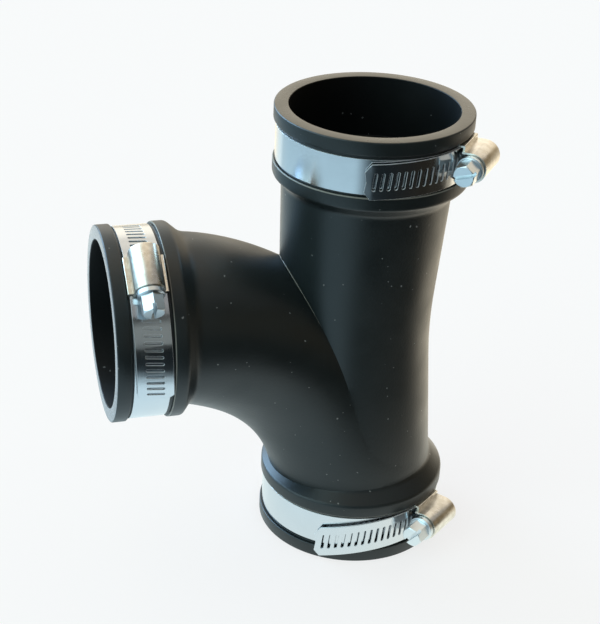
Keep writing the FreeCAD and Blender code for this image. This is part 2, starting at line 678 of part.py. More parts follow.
def make_strap(name, clamp, place):
    """Strap of one clamp."""
    feature = doc.addObject("Part::Feature", name)
    feature.Shape = Strap(clamp).solid()
    feature.Label = name
    feature.Placement = place
    return feature


# Where each clamp's own frame lies: X points out at the screw, Z lies along the neck

def clamp_place(clamp):
    """Placement of one clamp on its neck."""
    turn = size(clamp + "_clamp_angle")
    seat = fit("clamp_seat")
    slip = size(clamp + "_clamp_slip")
    if clamp == "top":
        return Placement(Vector(0, 0, size("run_height") - seat + slip), Rotation(Vector(0, 0, 1), turn))
    if clamp == "bottom":
        return Placement(Vector(0, 0, seat + slip), Rotation(Vector(0, 0, 1), turn))
    to_branch = Rotation(Vector(0, 1, 0), Vector(0, 0, -1), Vector(-1, 0, 0), "ZXY")
    return Placement(Vector(seat - slip - fit("branch_reach"), 0, fit("branch_height")),
                     to_branch * Rotation(Vector(0, 0, 1), -turn))


def screw_place(clamp):
    """Placement of a clamp's screw, its head towards the clamp's -Y."""
    in_clamp = Placement(Vector(fit("screw_axis"), 0, 0), Rotation(Vector(1, 0, 0), 90))
    own_turn = Placement(Vector(), Rotation(Vector(0, 0, 1), size(clamp + "_screw_turn")))
    return clamp_place(clamp) * in_clamp * own_turn


subparts = [make_tee()]
for clamp in ("top", "bottom", "branch"):
    place = clamp_place(clamp)
    subparts.append(make_strap(clamp + "_strap", clamp, place))
    subparts.append(make_housing(clamp + "_housing", place))
    subparts.append(make_screw(clamp + "_screw", screw_place(clamp)))
doc.recompute()

failed = [item.Name for item in doc.Objects if "Invalid" in item.State or "Error" in item.State]
if failed:
    raise SystemExit("failed features: " + ", ".join(failed))
for part in subparts:
    shape = part.Shape
    if shape.isNull() or not shape.isValid() or len(shape.Solids) != 1:
        raise SystemExit("bad solid: " + part.Label)

os.makedirs("parts", exist_ok=True)
for part in subparts:
    part.Shape.exportStep(os.path.join("parts", part.Label + ".step"))
    print("%s: %.0f cubic mm" % (part.Label, part.Shape.Volume))
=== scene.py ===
# %% [markdown]
# # A flexible rubber tee with three worm-drive clamps
# This lesson dresses a finished CAD part, a moulded rubber pipe tee, so that it looks like the
# real thing on a white studio floor. The CAD part is loaded as a fixed frame in metres: the
# origin is the centre of the bottom mouth, Z runs up the straight run, and the branch leaves
# towards -X. Each piece that is made here stands exactly where its CAD solid stands.

# %% Load the frame
import math
import bpy
from mathutils import Matrix, Vector


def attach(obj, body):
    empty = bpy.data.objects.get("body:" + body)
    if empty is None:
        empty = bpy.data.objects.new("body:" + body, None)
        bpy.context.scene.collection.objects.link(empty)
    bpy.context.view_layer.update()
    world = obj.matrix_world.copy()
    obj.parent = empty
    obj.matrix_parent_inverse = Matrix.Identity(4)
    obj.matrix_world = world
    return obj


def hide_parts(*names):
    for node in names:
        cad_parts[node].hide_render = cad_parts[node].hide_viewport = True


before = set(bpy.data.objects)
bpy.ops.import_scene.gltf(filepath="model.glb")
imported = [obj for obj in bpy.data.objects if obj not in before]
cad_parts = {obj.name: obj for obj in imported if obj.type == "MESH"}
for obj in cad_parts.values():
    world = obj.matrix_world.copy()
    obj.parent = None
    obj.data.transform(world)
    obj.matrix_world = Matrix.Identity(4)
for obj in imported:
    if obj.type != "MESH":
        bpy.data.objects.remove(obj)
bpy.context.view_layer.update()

# %% [markdown]
# Sizes below are written in millimetres, as on the drawing, and turned to metres with MM.
# Every edit starts from nothing selected, because loading the frame leaves all of it selected.

# %% Millimetres and a clean selection
MM = 0.001


def select_only(*pieces):
    """Go to object mode with only these pieces selected, the first one active."""
    if bpy.context.mode != "OBJECT":
        bpy.ops.object.mode_set(mode="OBJECT")
    bpy.ops.object.select_all(action="DESELECT")
    for piece in pieces:
        piece.select_set(True)
    if pieces:
        bpy.context.view_layer.objects.active = pieces[0]


def apply_modifier(piece, kind, **settings):
    """Add one modifier with its settings and apply it."""
    select_only(piece)
    modifier = piece.modifiers.new(kind.lower(), kind)
    for name, value in settings.items():
        setattr(modifier, name, value)
    bpy.ops.object.modifier_apply(modifier=modifier.name)


# %% [markdown]
# ## Finishes
# Colours are picked as sRGB hex, the way a colour picker shows them, while shaders count in
# linear light. One function converts. Another adds a node with its settings and its links, so
# that a material reads as a short list of nodes. Patterns are scaled by the width in
# millimetres that their cells have on the real thing.

# %% Colour and node helpers
def linear(code):
    """Linear RGBA of an sRGB hex colour such as "2b2d2f"."""
    parts = [int(code[i:i + 2], 16) / 255 for i in (0, 2, 4)]
    return [c / 12.92 if c <= 0.04045 else ((c + 0.055) / 1.055) ** 2.4 for c in parts] + [1.0]


def add_node(tree, kind, inputs=None, **settings):
    """Add a node. inputs maps socket names or numbers to a value or to the output that feeds it."""
    node = tree.nodes.new("ShaderNode" + kind)
    for name, value in settings.items():
        setattr(node, name, value)
    for name, value in (inputs or {}).items():
        if isinstance(value, bpy.types.NodeSocket):
            tree.links.new(value, node.inputs[name])
        else:
            node.inputs[name].default_value = value
    return node


def new_material(name):
    """A new material and its node tree, still empty."""
    material = bpy.data.materials.new(name)
    material.use_nodes = True
    material.node_tree.nodes.clear()
    return material, material.node_tree


def per_metre(millimetres):
    """Texture scale for a pattern whose cells are so many millimetres wide."""
    return 1000.0 / millimetres


print("mid grey 808080 in linear light:", round(linear("808080")[0], 3))

# %% [markdown]
# ### Moulded rubber
# The tee is black flexible rubber pressed in a steel mould. The mould was blasted, so the skin
# is satin: it shows broad soft sheens and no sharp reflection. Its grain of about 0.1 mm is
# too fine for this picture and is drawn at 0.9 mm. Handling leaves cloudy patches, and white
# dust specks cling to it. Where it was cut it is browner and slicker, and on the branch the cut
# face is painted paler: painted light, where the light from the left falls on it. The collar's
# edge beside the clamp is painted pale grey, partly wear from the strap and partly a painted
# highlight, and the crease bead gets the same pale grey as a painted highlight. The bores are
# painted near black and dull: painted shade inside the passages.

# %% Rubber
RUBBER_IOR = 1.52


def make_rubber(name, colour, patch_colour, roughness, dust, ior=RUBBER_IOR):
    """Satin rubber with cloudy patches, a fine grain and specks of dust."""
    material, tree = new_material(name)
    place = add_node(tree, "TexCoord").outputs["Object"]
    cloud = add_node(tree, "TexNoise", {"Vector": place, "Scale": per_metre(18), "Detail": 3.0})
    base = add_node(tree, "MixRGB", {0: cloud.outputs["Fac"], 1: linear(colour), 2: linear(patch_colour)})
    wobble = add_node(tree, "TexNoise", {"Vector": place, "Scale": per_metre(1.1), "Detail": 1.0})
    bent = add_node(tree, "VectorMath", {0: wobble.outputs["Color"], 1: [0.9 * MM] * 3, 2: place},
                    operation="MULTIPLY_ADD")
    cells = add_node(tree, "TexVoronoi", {"Vector": bent.outputs[0], "Scale": per_metre(3.4)})
    keep = add_node(tree, "TexNoise", {"Vector": place, "Scale": per_metre(8), "Detail": 1.0})
    spread = add_node(tree, "MapRange", {"Value": keep.outputs["Fac"], "From Min": 0.42, "From Max": 0.75,
                                         "To Min": 0.0, "To Max": 0.13})
    speck = add_node(tree, "Math", {0: cells.outputs["Distance"], 1: spread.outputs["Result"]},
                     operation="LESS_THAN")
    amount = add_node(tree, "Math", {0: speck.outputs[0], 1: dust}, operation="MULTIPLY")
    skin = add_node(tree, "MixRGB", {0: amount.outputs[0], 1: base.outputs[0], 2: linear("c9cbc9")})
    gloss = add_node(tree, "MapRange", {"Value": cloud.outputs["Fac"], "From Min": 0.3, "From Max": 0.7,
                                        "To Min": roughness - 0.05, "To Max": roughness + 0.06})
    grain = add_node(tree, "TexNoise", {"Vector": place, "Scale": per_metre(0.9), "Detail": 2.0})
    bump = add_node(tree, "Bump", {"Height": grain.outputs["Fac"], "Strength": 0.35, "Distance": 0.1 * MM})
    shader = add_node(tree, "BsdfPrincipled", {
        "Base Color": skin.outputs[0], "Roughness": gloss.outputs["Result"], "IOR": ior,
        "Normal": bump.outputs[0]})
    add_node(tree, "OutputMaterial", {"Surface": shader.outputs[0]})
    return material


rubber = make_rubber("moulded_black_rubber", "111819", "1a2324", 0.38, 0.3)
cut_rubber = make_rubber("cut_rubber_face", "4a4233", "574e3e", 0.27, 0.15)
# The branch's cut face, painted paler: painted light where the light from the left falls on it.
painted_light_cut_rubber = make_rubber("cut_face_painted_light", "716e74", "7e7b80", 0.22, 0.15)
# Pale grey for the collar edges and the crease bead: partly strap wear, partly a painted highlight.
wear_and_highlight_rubber = make_rubber("edge_wear_and_painted_highlight", "6a6a62", "7c7c74", 0.34, 0.15)
# Near black, dull rubber for the bores: painted shade inside the passages.
bore_painted_shade = make_rubber("bore_painted_shade_rubber", "060808", "0b0d0d", 0.5, 0.2, ior=1.3)
tee_finishes = [rubber, cut_rubber, wear_and_highlight_rubber, painted_light_cut_rubber, bore_painted_shade]
print("rubber finishes:", [finish.name for finish in tee_finishes])

# %% [markdown]
# ### Stainless steel and zinc
# The strap is cold-rolled stainless strip, almost a mirror, with faint streaks along the way
# it was rolled. The streaks are about 0.3 mm apart on the strip and are drawn at 0.45 mm. They
# run right round the neck, so the pattern changes only along the neck's own axis, which lies
# level on the branch. Its sheared edges are matt and pale. The housing is pressed from a duller,
# slightly mottled stainless sheet, and the screw is zinc-plated steel. Every metal keeps the
# shader's own IOR.

# %% Strap and housing steel
def make_steel(name, colour, low, high, bend, streak=None, wave=None, mottle=None, metal=1.0):
    """Steel between two roughnesses, with a bumpiness called bend.

    streak and wave are the scales of its rolling lines and slow waves, mottle its second colour.
    """
    material, tree = new_material(name)
    place = add_node(tree, "TexCoord").outputs["Object"]
    smudge = add_node(tree, "TexNoise", {"Vector": place, "Scale": per_metre(7), "Detail": 2.0})
    gloss = add_node(tree, "MapRange", {"Value": smudge.outputs["Fac"], "From Min": 0.3, "From Max": 0.7,
                                        "To Min": low, "To Max": high})
    if streak:
        lines = add_node(tree, "Mapping", {"Vector": place, "Scale": streak})
        height = add_node(tree, "TexNoise", {"Vector": lines.outputs[0], "Scale": 1.0, "Detail": 2.0})
    else:
        height = add_node(tree, "TexNoise", {"Vector": place, "Scale": per_metre(1.6), "Detail": 2.0})
    bump = add_node(tree, "Bump", {"Height": height.outputs["Fac"], "Strength": bend, "Distance": 0.1 * MM})
    if wave:
        slow = add_node(tree, "Mapping", {"Vector": place, "Scale": wave})
        swell = add_node(tree, "TexNoise", {"Vector": slow.outputs[0], "Scale": 1.0, "Detail": 1.0})
        bump = add_node(tree, "Bump", {"Height": swell.outputs["Fac"], "Strength": 0.6, "Distance": 0.5 * MM,
                                       "Normal": bump.outputs[0]})
    tone = linear(colour)
    if mottle:
        spots = add_node(tree, "TexNoise", {"Vector": place, "Scale": per_metre(2.2), "Detail": 3.0})
        share = add_node(tree, "MapRange", {"Value": spots.outputs["Fac"], "From Min": 0.4, "From Max": 0.6})
        tone = add_node(tree, "MixRGB", {0: share.outputs["Result"], 1: tone, 2: linear(mottle)}).outputs[0]
    shader = add_node(tree, "BsdfPrincipled", {
        "Base Color": tone, "Metallic": metal, "Roughness": gloss.outputs["Result"],
        "Normal": bump.outputs[0]})
    add_node(tree, "OutputMaterial", {"Surface": shader.outputs[0]})
    return material


fine, slow, still = per_metre(0.45), per_metre(11), per_metre(125)
upright_strap_steel = make_steel("rolled_stainless_strap", "d3d6d9", 0.13, 0.22, 0.10,
                                 streak=(still, still, fine), wave=(slow, slow, still))
level_strap_steel = make_steel("rolled_stainless_strap_branch", "d3d6d9", 0.13, 0.22, 0.10,
                               streak=(fine, still, still), wave=(still, slow, slow))
edge_steel = make_steel("sheared_strap_edge", "eceff1", 0.4, 0.5, 0.10, metal=0.55)
housing_steel = make_steel("pressed_stainless_housing", "ebe6dc", 0.25, 0.35, 0.14, mottle="dad4c8")
screw_steel = make_steel("zinc_plated_screw", "dfe6ea", 0.28, 0.4, 0.14)
print("steel finishes:", upright_strap_steel.name, level_strap_steel.name, edge_steel.name,
      housing_steel.name, screw_steel.name)

# %% [markdown]
# ## The tee
# The rubber is one moulding. Its outside is a straight run and a swept branch, each a tube that
# grows ring by ring: a neck with a lip, a groove for the clamp, a collar and a cone, and then a
# slowly changing tube. A row of rings suits this better than a sculpt, because each size on
# the drawing is one ring. A ring is written (x, z, tilt, radius, rounding): where its middle is,
# which way it faces, and how far the corner there is rounded.

# %% Rounded rings
def round_corners(rings):
    """Replace each ring that asks for rounding by a short curve of rings near it."""
    smooth = [rings[0][:4]]
    for before, here, after in zip(rings, rings[1:], rings[2:]):
        reach = here[4]
        if not reach:
            smooth.append(here[:4])
            continue
        ends = []
        for other in (before, after):
            gap = math.dist((other[0], other[1], other[3]), (here[0], here[1], here[3]))
            share = min(1.0, reach / gap)
            ends.append([h + (o - h) * share for h, o in zip(here[:4], other[:4])])
        steps = 4 if reach < 3 else 8
        for i in range(steps + 1):
            t = i / steps
            smooth.append(tuple((1 - t) ** 2 * a + 2 * t * (1 - t) * h + t * t * b
                                for a, h, b in zip(ends[0], here, ends[1])))
    smooth.append(rings[-1][:4])
    return [ring for i, ring in enumerate(smooth)
            if i == 0 or max(abs(a - b) for a, b in zip(ring, smooth[i - 1])) > 1e-4]


corner = [(0, 0, 0, 1, 0), (0, 1, 0, 1, 0.3), (0, 1, 0, 2, 0)]
print("three rings with one rounded corner become", len(round_corners(corner)))

# %% [markdown]
# The tube starts as a filled circle. Each further ring is an extrusion of the end face, moved,
# turned and scaled into place, as it would be by hand. Without a window the turn goes the
# other way, so its sign is swapped and its centre is given.

# %% Grow a tube
def grow_tube(name, rings, around=128):
    """Closed tube through rings of (x, z, tilt, radius) in millimetres and degrees."""
    select_only()
    x, z, tilt, radius = rings[0]
    bpy.ops.mesh.primitive_circle_add(vertices=around, radius=radius * MM, fill_type="NGON",
                                      location=(x * MM, 0, z * MM), rotation=(0, math.radians(tilt), 0))
    tube = bpy.context.object
    tube.name = name
    bpy.ops.object.transform_apply(location=True, rotation=True, scale=True)
    bpy.ops.object.mode_set(mode="EDIT")
    bpy.ops.mesh.select_mode(type="FACE")
    bpy.ops.mesh.select_all(action="SELECT")
    for (x0, z0, tilt0, r0), (x1, z1, tilt1, r1) in zip(rings, rings[1:]):
        step = ((x1 - x0) * MM, 0, (z1 - z0) * MM)
        middle = (x1 * MM, 0, z1 * MM)
        bpy.ops.mesh.extrude_region_move(TRANSFORM_OT_translate={"value": step})
        if abs(tilt1 - tilt0) > 1e-6:
            bpy.ops.transform.rotate(value=-math.radians(tilt1 - tilt0), orient_axis="Y",
                                     center_override=middle)
        if abs(r1 - r0) > 1e-6:
            size = r1 / r0
            bpy.ops.transform.resize(value=(size, size, size), center_override=middle)
    bpy.ops.mesh.select_all(action="SELECT")
    bpy.ops.mesh.normals_make_consistent(inside=False)
    bpy.ops.object.mode_set(mode="OBJECT")
    return tube


# %% [markdown]
# All three necks are alike. A neck is written once, as (distance from its mouth, radius,
# rounding), and then set on each end. The lip and collar edges are rounded by about half a
# millimetre, as the mould leaves them, and the foot of the cone runs softly into the tube.

# %% The neck, outside and inside
RUN_HEIGHT = 170.5
BRANCH_REACH = 97.2
BRANCH_HEIGHT = 93.7
NECK = [(0.0, 35.4, 0.55), (5.0, 35.4, 0.45), (5.0, 33.9, 0.25), (20.0, 33.9, 0.25),
        (20.0, 35.3, 0.4), (24.8, 35.3, 0.9)]
SOCKET = [(-3.0, 30.55, 0), (0.0, 30.55, 0), (0.0, 30.15, 0.4), (23.0, 30.15, 0.4), (23.0, 26.2, 0.6)]


def bottom(profile):
    """Rings of a neck at the bottom mouth, going up."""
    return [(0, d, 0, r, rounding) for d, r, rounding in profile]


def top(profile):
    """Rings of a neck at the top mouth, going up to it."""
    return [(0, RUN_HEIGHT - d, 0, r, rounding) for d, r, rounding in reversed(profile)]


def branch(profile):
    """Rings of a neck at the branch mouth, going in towards +X."""
    return [(d - BRANCH_REACH, BRANCH_HEIGHT, 90, r, rounding) for d, r, rounding in profile]


print("a neck is", NECK[-1][0], "mm long with its collar, its socket", SOCKET[-1][0], "mm deep")

# %% [markdown]
# The branch follows a quarter circle of 70.5 mm radius from its neck down to the bottom neck,
# and cuts the corner a little. Its tube narrows from 31.2 to 27.7 mm half way and widens again,
# so its radius is a smooth curve through five measured places. The hollow side of the bend is
# fuller than that: its belly, also given at five places, is added to the round tube there.
# A place on the bend is given by its turn, 0 degrees at the neck and 90 at the foot, and by its
# reach from the centre of the bend.

# %% The bend
BEND_RADIUS = 70.5
BEND_FOOT = BRANCH_HEIGHT - BEND_RADIUS
CORNER_CUT = 1.4
BEND_RADII = (31.2, 28.9, 27.7, 29.2, 30.3)
BEND_BELLY = (0.0, 4.8, 6.0, 4.1, 2.0)


def along_bend(values, turn):
    """Value of a smooth curve through five values, spread evenly over the bend's 90 degrees."""
    step = 90 / (len(values) - 1)
    result = 0.0
    for own, value in enumerate(values):
        weight = 1.0
        for other in range(len(values)):
            if other != own:
                weight *= (turn / step - other) / (own - other)
        result += weight * value
    return result


def on_bend(reach, turn):
    """The x and z of a place on the bend, from its reach and turn."""
    return (reach * math.sin(math.radians(turn)) - BEND_RADIUS,
            BEND_FOOT + reach * math.cos(math.radians(turn)))


def reach_and_turn(x, z):
    """The reach and turn of a point, from its x and z."""
    across, up = x + BEND_RADIUS, z - BEND_FOOT
    return math.hypot(across, up), math.degrees(math.atan2(across, up))


def middle_reach(turn):
    """Distance of the branch's middle line from the centre of its bend."""
    return BEND_RADIUS - CORNER_CUT * math.sin(math.radians(2 * turn))


def bend_ring(turn, thinner=0.0, rounding=0):
    """Ring of the branch after so many degrees of its bend."""
    return (*on_bend(middle_reach(turn), turn), 90 + turn, along_bend(BEND_RADII, turn) - thinner, rounding)


def above_bend(x, y, z):
    """Height of a point above the skin of the round tube round the bend, negative inside it."""
    reach, turn = reach_and_turn(x, z)
    return math.hypot(reach - middle_reach(turn), y) - along_bend(BEND_RADII, turn)


def add_belly(tube):
    """Move the hollow side of the bend outwards, most in its middle and not at all at its sides."""
    for vertex in tube.data.vertices:
        x, y, z = vertex.co / MM
        reach, turn = reach_and_turn(x, z)
        hollow = (middle_reach(turn) - reach) / along_bend(BEND_RADII, turn)
        if 0 < turn <= 90.1 and hollow > 0:
            x, z = on_bend(reach - along_bend(BEND_BELLY, turn) * hollow ** 2, turn)
            vertex.co.x, vertex.co.z = x * MM, z * MM


print("bend rings, radius in mm:", [round(bend_ring(turn)[3], 1) for turn in range(0, 91, 15)])

# %% [markdown]
# Four tubes make the moulding: the run and the branch, and the two passages through them. The
# run leans slightly towards the branch and is thinnest at 87.7 mm. Joining the outsides and
# cutting the passages with exact booleans gives the crisp crease where the branch leaves.

# %% Grow the four tubes
WALL = 4.3
WAIST_HEIGHT, WAIST_LEAN, WAIST_RADIUS = 87.7, 2.84, 28.1
CONE_FOOT_TURN = 1.7
START_RADIUS = 20.0
turns = range(4, 91, 2)
run_rings = (
    [(0, 0, 0, START_RADIUS, 0)] + bottom(NECK)
    + [(-0.27, 29.3, -2.5, 30.1, 1.6), (-WAIST_LEAN, WAIST_HEIGHT, -0.4, WAIST_RADIUS, 14),
       (-1.3, 141.55, 2.2, 30.68, 1.6)]
    + top(NECK) + [(0, RUN_HEIGHT, 0, START_RADIUS, 0)])
branch_rings = (
    [(-BRANCH_REACH, BRANCH_HEIGHT, 90, START_RADIUS, 0)] + branch(NECK)
    + [bend_ring(CONE_FOOT_TURN, rounding=1.6)] + [bend_ring(turn) for turn in turns]
    + [(0, 20, 180, 29.0, 0)])
run_hole_rings = (
    bottom(SOCKET) + [(-WAIST_LEAN, WAIST_HEIGHT, 0, WAIST_RADIUS - WALL, 14)] + top(SOCKET))
branch_hole_rings = (
    branch(SOCKET) + [bend_ring(turn, thinner=WALL) for turn in turns] + [(0, 18, 180, 25.0, 0)])
tee = grow_tube("rubber_tee", round_corners(run_rings))
swept_branch = grow_tube("swept_branch", round_corners(branch_rings))
add_belly(swept_branch)
run_hole = grow_tube("run_hole", round_corners(run_hole_rings))
branch_hole = grow_tube("branch_hole", round_corners(branch_hole_rings))
print("rings: run", len(round_corners(run_rings)), "branch", len(round_corners(branch_rings)))

# %% [markdown]
# The booleans leave points that lie almost on one another along their cuts. Merging these, and
# dissolving faces that have no width, keeps the smooth shading free of dark nicks.

# %% Join and cut
for other, operation in ((swept_branch, "UNION"), (run_hole, "DIFFERENCE"), (branch_hole, "DIFFERENCE")):
    apply_modifier(tee, "BOOLEAN", object=other, operation=operation, solver="EXACT")
for helper in (swept_branch, run_hole, branch_hole):
    bpy.data.objects.remove(helper)
select_only(tee)
bpy.ops.object.mode_set(mode="EDIT")
bpy.ops.mesh.select_all(action="SELECT")
NEARLY_NOTHING = 0.004 * MM
bpy.ops.mesh.remove_doubles(threshold=NEARLY_NOTHING)
bpy.ops.mesh.dissolve_degenerate(threshold=NEARLY_NOTHING)
bpy.ops.object.mode_set(mode="OBJECT")
bpy.ops.object.shade_smooth_by_angle(angle=math.radians(30))
print("tee:", len(tee.data.polygons), "faces")

# %% [markdown]
# The mould leaves a thin bead along the crease. The bead is painted pale grey, a painted highlight
# that draws the crease as a light line. Its path is read from the crease itself: the edges on the
# branch's skin, from its top down to a height of 94 mm, that turn by more than 15 degrees. The
# path is smoothed and becomes a round curve that thins at both ends.

# %% Bead along the crease
BEAD_FOOT = 94
NECK_SIDE = -60
NEAR_SKIN = 0.4
CREASE_ANGLE = math.radians(15)
BEAD_RADIUS = 0.32
THINNING_POINTS = 8


def crease_path(mesh):
    """Points along the crease in millimetres, foot to foot: every fourth, as the mean of seven."""
    sides = {}
    for face in mesh.polygons:
        for key in face.edge_keys:
            sides.setdefault(key, []).append(face.normal)
    found = set()
    for key, (one, other) in sides.items():
        x, y, z = (mesh.vertices[key[0]].co + mesh.vertices[key[1]].co) / 2 / MM
        on_branch = z > BEAD_FOOT and x > NECK_SIDE and abs(above_bend(x, y, z)) < NEAR_SKIN
        if on_branch and one.angle(other) > CREASE_ANGLE:
            found.update(key)
    points = [mesh.vertices[i].co / MM for i in found]
    front = sorted((p for p in points if p.y < -0.3), key=lambda p: p.z)
    back = sorted((p for p in points if p.y > 0.3), key=lambda p: -p.z)
    path = front + back
    return [sum(path[i - 3:i + 4], Vector((0, 0, 0))) / 7 for i in range(3, len(path) - 3, 4)]


bead_path = crease_path(tee.data)
curve = bpy.data.curves.new("crease_bead", "CURVE")
curve.dimensions = "3D"
curve.bevel_depth = BEAD_RADIUS * MM
curve.bevel_resolution = 3
curve.use_fill_caps = True
spline = curve.splines.new("POLY")
spline.points.add(len(bead_path) - 1)
for i, (point, place) in enumerate(zip(spline.points, bead_path)):
    point.co = (*(place * MM), 1.0)
    point.radius = min(1.0, 0.1 + min(i, len(bead_path) - 1 - i) / THINNING_POINTS)
bead = bpy.data.objects.new("crease_bead", curve)
bpy.context.collection.objects.link(bead)
select_only(bead)
bpy.ops.object.convert(target="MESH")
bpy.ops.object.shade_smooth()
skin_faces = len(tee.data.polygons)
select_only(tee, bead)
bpy.ops.object.join()
print("bead along", len(bead_path), "points, from", [round(c) for c in bead_path[0]],
      "to", [round(c) for c in bead_path[-1]])

# %% [markdown]
# The flat ring at each mouth was trimmed after moulding: it is a little browner and slicker than
# the skin. On the branch it is painted paler: painted light, where the light from the left falls
# on it. The collar's edge beside the clamp is painted pale, partly wear from the strap and partly
# a painted highlight, and the bead gets the same pale as a painted highlight. The sockets and
# passages are painted near black and dull: painted shade inside them. The faces are found by
# where they are on their neck, between two depths from the mouth and two radii, and beyond the
# necks by their distance from the middle line.

# %% A finish for each face
SOCKET_WALL = ((0.06, 23.5), (0.0, 30.5))
MOUTH_RING = ((-0.1, 0.05), (0.0, 35.3))
COLLAR_EDGE = ((20.0, 20.42), (34.88, 35.31))
SQUARE_ON = 0.97


def neck_places(x, y, z):
    """Depth from the mouth and radius of a point, for each of the three necks."""
    return ((z, math.hypot(x, y)), (RUN_HEIGHT - z, math.hypot(x, y)),
            (x + BRANCH_REACH, math.hypot(y, z - BRANCH_HEIGHT)))


def within(places, depths, radii):
    """True if one of the places lies between two depths and two radii."""
    return any(depths[0] < depth < depths[1] and radii[0] < radius < radii[1] for depth, radius in places)


def in_passage(x, y, z):
    """True on the walls of the sockets and of the passages that join them."""
    if within(neck_places(x, y, z), *SOCKET_WALL):
        return True
    lean = 0.036 * abs(z - WAIST_HEIGHT) - WAIST_LEAN
    in_run = math.hypot(x - lean, y) < 26.7
    return in_run or (x > -BEND_RADIUS and z > BEND_FOOT and above_bend(x, y, z) < 0.8 - WALL)


def finish_of(face):
    """The rubber that a face of the tee shows."""
    places = neck_places(*(face.center / MM))
    # The collar's edge: pale, partly strap wear and partly a painted highlight.
    if within(places, *COLLAR_EDGE):
        return wear_and_highlight_rubber
    if within(places, *MOUTH_RING) and max(abs(c) for c in face.normal) > SQUARE_ON:
        # The branch's mouth ring is painted paler: painted light.
        return painted_light_cut_rubber if face.normal.x < -SQUARE_ON else cut_rubber
    # The crease bead is painted pale: a painted highlight.
    if face.index >= skin_faces:
        return wear_and_highlight_rubber
    # Passage walls are painted near black: painted shade.
    return bore_painted_shade if in_passage(*(face.center / MM)) else rubber


for finish in tee_finishes:
    tee.data.materials.append(finish)
for face in tee.data.polygons:
    face.material_index = tee_finishes.index(finish_of(face))
for i, finish in enumerate(tee_finishes):
    print(finish.name, "on", sum(face.material_index == i for face in tee.data.polygons), "faces")
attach(tee, "tee")
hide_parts("tee_body")

# %% [markdown]
# ## The clamps
# Each clamp is a strap, a housing and a screw. It has a frame of its own: X points from the
# neck's axis out to the screw, Z lies along the neck, and the strap's tail runs towards -Y.
# Pieces are modelled in that frame or flat on the bench, and then set on their neck. No two are
# fitted alike: tail says how many degrees a clamp's tail reaches past its screw, skew how far it
# drifts along the neck and lift how far it opens, in millimetres, and screw how far the screw
# was turned.

# %% Where the clamps sit
def turned(degrees, axis):
    """Rotation matrix."""
    return Matrix.Rotation(math.radians(degrees), 4, axis)


def moved(x, y, z):
    """Translation matrix, in millimetres."""
    return Matrix.Translation(Vector((x, y, z)) * MM)


into_branch = Matrix(((0, 0, -1, 0), (1, 0, 0, 0), (0, -1, 0, 0), (0, 0, 0, 1)))
CLAMPS = {
    "top": {"place": moved(0, 0, RUN_HEIGHT - 12.8) @ turned(-39, "Z"),
            "tail": 73.0, "skew": -1.4, "lift": 0.75, "screw": 20.0},
    "bottom": {"place": moved(0, 0, 12.7) @ turned(-50.5, "Z"),
               "tail": 77.5, "skew": -5.6, "lift": 1.1, "screw": 50.0},
    "branch": {"place": moved(12.3 - BRANCH_REACH, 0, BRANCH_HEIGHT) @ into_branch @ turned(-126, "Z"),
               "tail": 76.5, "skew": -1.2, "lift": 0.7, "screw": 0.0},
}
for clamp in CLAMPS:
    print(clamp, "screw side points to", [round(c, 2) for c in CLAMPS[clamp]["place"].to_3x3().col[0]])

# %% [markdown]
# ### The strap
# On the real clamp a flat strip is punched with a row of slots, one for each 2.5 mm of screw
# thread, and then rolled round the neck. It is made here in the same order. One cell of strip
# with its slot is modelled: a plane whose middle is deleted and a circle whose halves are pulled
# apart, with faces bridged between the two. X runs from the tail's tip, and Y across the strap.

# %% One slotted cell
PITCH = 2.5
STRAP_WIDTH = 12.7
SLOT_WIDTH = 1.15
SLOT_STRETCH = 2.62
SLOT_SLANT = 0.3


def pick(piece, chosen):
    """Go to edit mode with only the vertices selected that chosen picks, by place in millimetres."""
    bpy.ops.object.mode_set(mode="OBJECT")
    mesh = piece.data
    for part in (*mesh.polygons, *mesh.edges):
        part.select = False
    for vertex in mesh.vertices:
        vertex.select = chosen(*(vertex.co / MM))
    bpy.context.tool_settings.mesh_select_mode = (True, False, False)
    bpy.ops.object.mode_set(mode="EDIT")
    bpy.ops.mesh.select_mode(type="VERT")


def slot_cell():
    """One pitch of flat strip with its slot, centred on the slot."""
    select_only()
    bpy.ops.mesh.primitive_plane_add(size=1, location=(0, 0, 0))
    cell = bpy.context.object
    bpy.ops.object.mode_set(mode="EDIT")
    bpy.ops.transform.resize(value=(PITCH * MM, STRAP_WIDTH * MM, 1))
    bpy.ops.mesh.subdivide(number_cuts=3)
    pick(cell, lambda x, y, z: abs(x) < PITCH / 2 - 0.1 and abs(y) < STRAP_WIDTH / 2 - 0.1)
    bpy.ops.mesh.delete(type="VERT")
    bpy.ops.mesh.primitive_circle_add(vertices=16, radius=SLOT_WIDTH / 2 * MM, location=(0, 0, 0),
                                      rotation=(0, 0, math.radians(11.25)))
    for side in (1, -1):
        pick(cell, lambda x, y, z: abs(x) < 0.6 and 0 < y * side < 0.6)
        bpy.ops.transform.translate(value=(SLOT_SLANT * side * MM, SLOT_STRETCH * side * MM, 0))
    bpy.ops.mesh.select_all(action="SELECT")
    bpy.ops.mesh.bridge_edge_loops()
    bpy.ops.object.mode_set(mode="OBJECT")
    return cell


# %% [markdown]
# The array gives the slotted length, from the tail's tip to 52 degrees behind the screw. The row
# of vertices at each end is then extruded: a short piece for the tip, whose corners are cut and
# whose end dips a little, and plain strip for the rest of the way round, 11.3 degrees more than
# once. A solidify gives the sheet its 0.6 mm, and a bevel breaks the edges.

# %% The flat strip
STRAP_SHEET = 0.6
FIRST_SLOT = 3.4
TAIL_RADIUS = 35.2
SLOTTED_BEHIND = 52
STRAP_START = 11.3
TIP_CORNER, TIP_DIP = 2.1, 0.55


